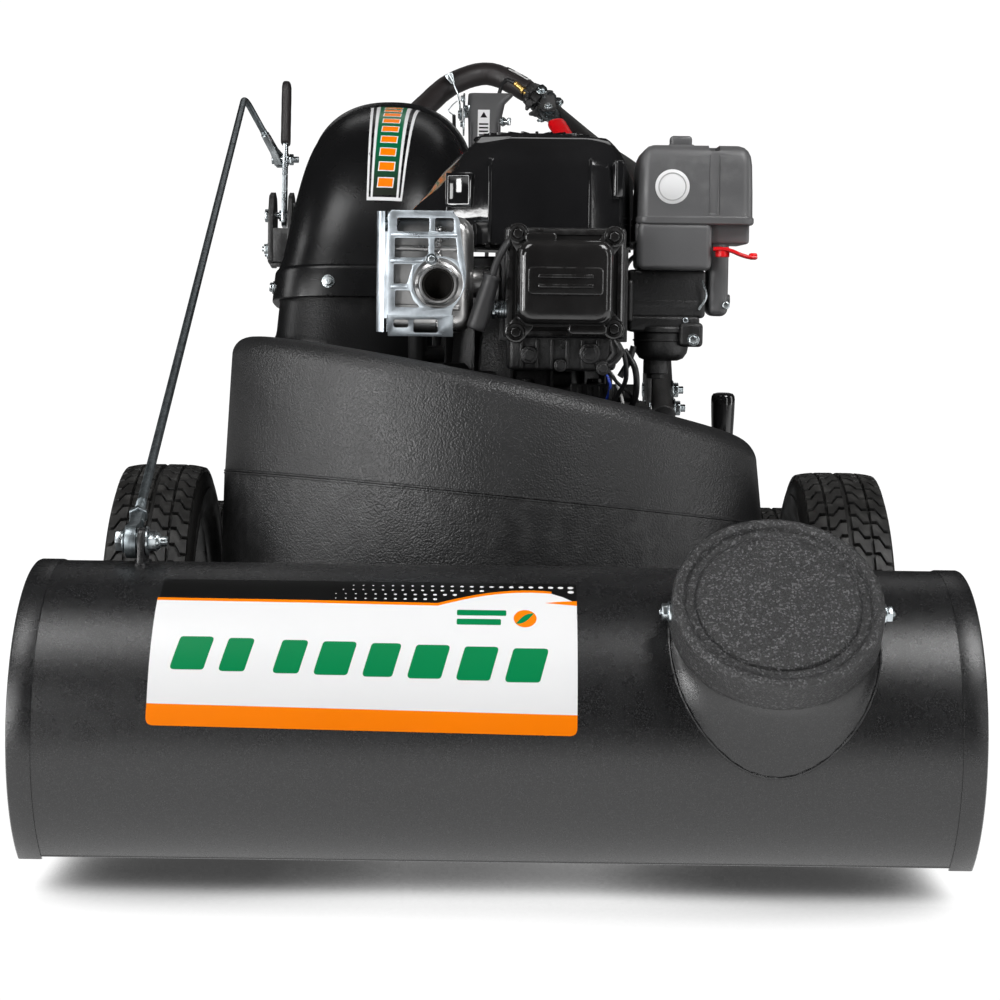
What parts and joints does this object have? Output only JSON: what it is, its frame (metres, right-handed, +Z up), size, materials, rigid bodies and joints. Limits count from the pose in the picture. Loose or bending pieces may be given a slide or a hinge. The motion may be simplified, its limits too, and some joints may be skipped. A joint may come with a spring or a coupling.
{
  "type": "leaf vacuum mulcher",
  "caption": "Walk-behind leaf vacuum and mulcher: wide tube intake nozzle with a capped hose port, engine-driven impeller housing, rear exhaust elbow, wheels, and a hoop handle with controls.",
  "frame": {"origin": "on the floor, under the middle of the bounding box", "axes": "+Z up; -Y is the way the machine drives, so the intake nozzle is at -Y and the operator stands at +Y; +X is the operator's left. Left and right in node names are as seen from in front of the nozzle, so left is -X"},
  "size_m": [0.748, 1.5331, 0.7829],
  "materials": {
    "black_powder_coat": "satin powder coat with a fine sparkle",
    "housing_plastic": "moulded, pebble grain",
    "cap_plastic": "moulded, coarse pebble grain",
    "console_plastic": "satin moulded",
    "zinc_plate": "bright zinc plate",
    "cast_black": "black painted casting",
    "cast_alloy": "die cast, dull",
    "tyre_rubber": "matte",
    "rim_paint": "satin black",
    "bare_steel": "plain steel, lightly heat stained",
    "engine_black": "satin moulded",
    "gloss_black": "gloss",
    "cover_paint": "gloss enamel on pressed steel",
    "air_cleaner_plastic": "satin moulded",
    "boot_rubber": "satin",
    "red_vinyl": "soft vinyl, gloss",
    "vinyl_dip": "dipped vinyl"
  },
  "bodies": {
    "chassis": {"chassis_frame": "black_powder_coat", "lower_housing": "housing_plastic", "upper_housing": "housing_plastic", "exhaust_elbow": "housing_plastic", "engine_base_plate": "engine_black", "crankcase": "cast_black", "cylinder_block": "cast_black", "rocker_cover": "cover_paint", "blower_shroud": "gloss_black", "muffler": "bare_steel", "muffler_guard": "zinc_plate", "spark_plug_boot": "boot_rubber", "air_cleaner_cover": "air_cleaner_plastic", "air_cleaner_base": "air_cleaner_plastic", "carburettor": "cast_alloy", "fuel_tank": "engine_black", "oil_filler": "engine_black", "handle_hoop": "black_powder_coat", "clutch_clamp": "black_powder_coat", "control_console": "console_plastic", "throttle_plate": "zinc_plate", "lever_bracket": "black_powder_coat", "transaxle": "cast_black", "front_left_axle": "zinc_plate", "front_right_axle": "zinc_plate", "rear_axle": "zinc_plate"},
    "nozzle": {"nozzle_tube": "black_powder_coat", "hose_port": "black_powder_coat", "nozzle_left_end": "black_powder_coat", "nozzle_right_end": "black_powder_coat", "throat_spout": "black_powder_coat", "rod_lower_bolt": "zinc_plate"},
    "port_cap": {"hose_port_cap": "cap_plastic", "cap_screw_left": "zinc_plate", "cap_screw_right": "zinc_plate"},
    "lift_rod": {"height_rod": "zinc_plate", "rod_lower_end": "zinc_plate", "rod_upper_end": "zinc_plate"},
    "lift_lever": {"height_lever": "zinc_plate", "height_lever_grip": "vinyl_dip", "rod_upper_bolt": "zinc_plate"},
    "front_left_wheel": {"front_left_tyre": "tyre_rubber", "front_left_rim": "rim_paint"},
    "front_right_wheel": {"front_right_tyre": "tyre_rubber", "front_right_rim": "rim_paint"},
    "rear_left_wheel": {"rear_left_tyre": "tyre_rubber", "rear_left_rim": "rim_paint"},
    "rear_right_wheel": {"rear_right_tyre": "tyre_rubber", "rear_right_rim": "rim_paint"},
    "rotor": {"impeller": "bare_steel", "crankshaft": "bare_steel"},
    "throttle": {"throttle_lever": "zinc_plate"},
    "drive_clutch": {"clutch_lever": "zinc_plate", "clutch_grip": "red_vinyl"},
    "choke": {"choke_lever": "red_vinyl"},
    "gear_shift": {"gear_lever": "zinc_plate", "gear_knob": "gloss_black"},
    "filler_cap": {"fuel_cap": "engine_black"}
  },
  "joints": [
    {"name": "front_left_wheel_spin", "type": "hinge", "parent": "chassis", "child": "front_left_wheel", "pos_m": [-0.317, -0.2547, 0.1524], "axis": [1, 0, 0], "continuous": true},
    {"name": "front_right_wheel_spin", "type": "hinge", "parent": "chassis", "child": "front_right_wheel", "pos_m": [0.317, -0.2547, 0.1524], "axis": [1, 0, 0], "continuous": true},
    {"name": "rear_left_wheel_spin", "type": "hinge", "parent": "chassis", "child": "rear_left_wheel", "pos_m": [-0.315, 0.2173, 0.1143], "axis": [1, 0, 0], "continuous": true},
    {"name": "rear_right_wheel_spin", "type": "hinge", "parent": "chassis", "child": "rear_right_wheel", "pos_m": [0.315, 0.2173, 0.1143], "axis": [1, 0, 0], "continuous": true},
    {"name": "impeller_spin", "type": "hinge", "parent": "chassis", "child": "rotor", "pos_m": [0.018, -0.1987, 0.244], "axis": [0, 0, 1], "continuous": true},
    {"name": "nozzle_tilt", "type": "hinge", "parent": "chassis", "child": "nozzle", "pos_m": [0, -0.4287, 0.133], "axis": [1, 0, 0], "range_deg": [-6.2, 4.6]},
    {"name": "height_lever_swing", "type": "hinge", "parent": "chassis", "child": "lift_lever", "pos_m": [-0.2765, 0.4863, 0.566], "axis": [1, 0, 0], "range_deg": [-17.4, 13]},
    {"name": "lift_rod_pivot", "type": "hinge", "parent": "nozzle", "child": "lift_rod", "pos_m": [-0.295, -0.5937, 0.268], "axis": [1, 0, 0], "range_deg": [-3.9, 5.2]},
    {"name": "port_cap_pull", "type": "slide", "parent": "nozzle", "child": "port_cap", "axis": [0, -0.7071, 0.7071], "range_m": [0, 0.06]},
    {"name": "throttle_swing", "type": "hinge", "parent": "chassis", "child": "throttle", "pos_m": [-0.06, 0.6983, 0.712], "axis": [1, 0, 0], "range_deg": [0, 45]},
    {"name": "drive_clutch_squeeze", "type": "hinge", "parent": "chassis", "child": "drive_clutch", "pos_m": [0.0575, 0.6683, 0.716], "axis": [0, -0.5, 0.866], "range_deg": [0, 12]},
    {"name": "choke_swing", "type": "hinge", "parent": "chassis", "child": "choke", "pos_m": [0.198, -0.3407, 0.51], "axis": [0, 0, 1], "range_deg": [-35, 0]},
    {"name": "gear_shift_swing", "type": "hinge", "parent": "chassis", "child": "gear_shift", "pos_m": [0.231, -0.0337, 0.152], "axis": [1, 0, 0], "range_deg": [-20, 3]},
    {"name": "filler_cap_turn", "type": "hinge", "parent": "chassis", "child": "filler_cap", "pos_m": [0.052, -0.0377, 0.55], "axis": [0, 0, 1], "range_deg": [0, 180]}
  ],
  "couplings": [
    {"joint": "height_lever_swing", "follows": "nozzle_tilt", "ratio": 2.78},
    {"joint": "lift_rod_pivot", "follows": "nozzle_tilt", "ratio": -0.81}
  ]
}
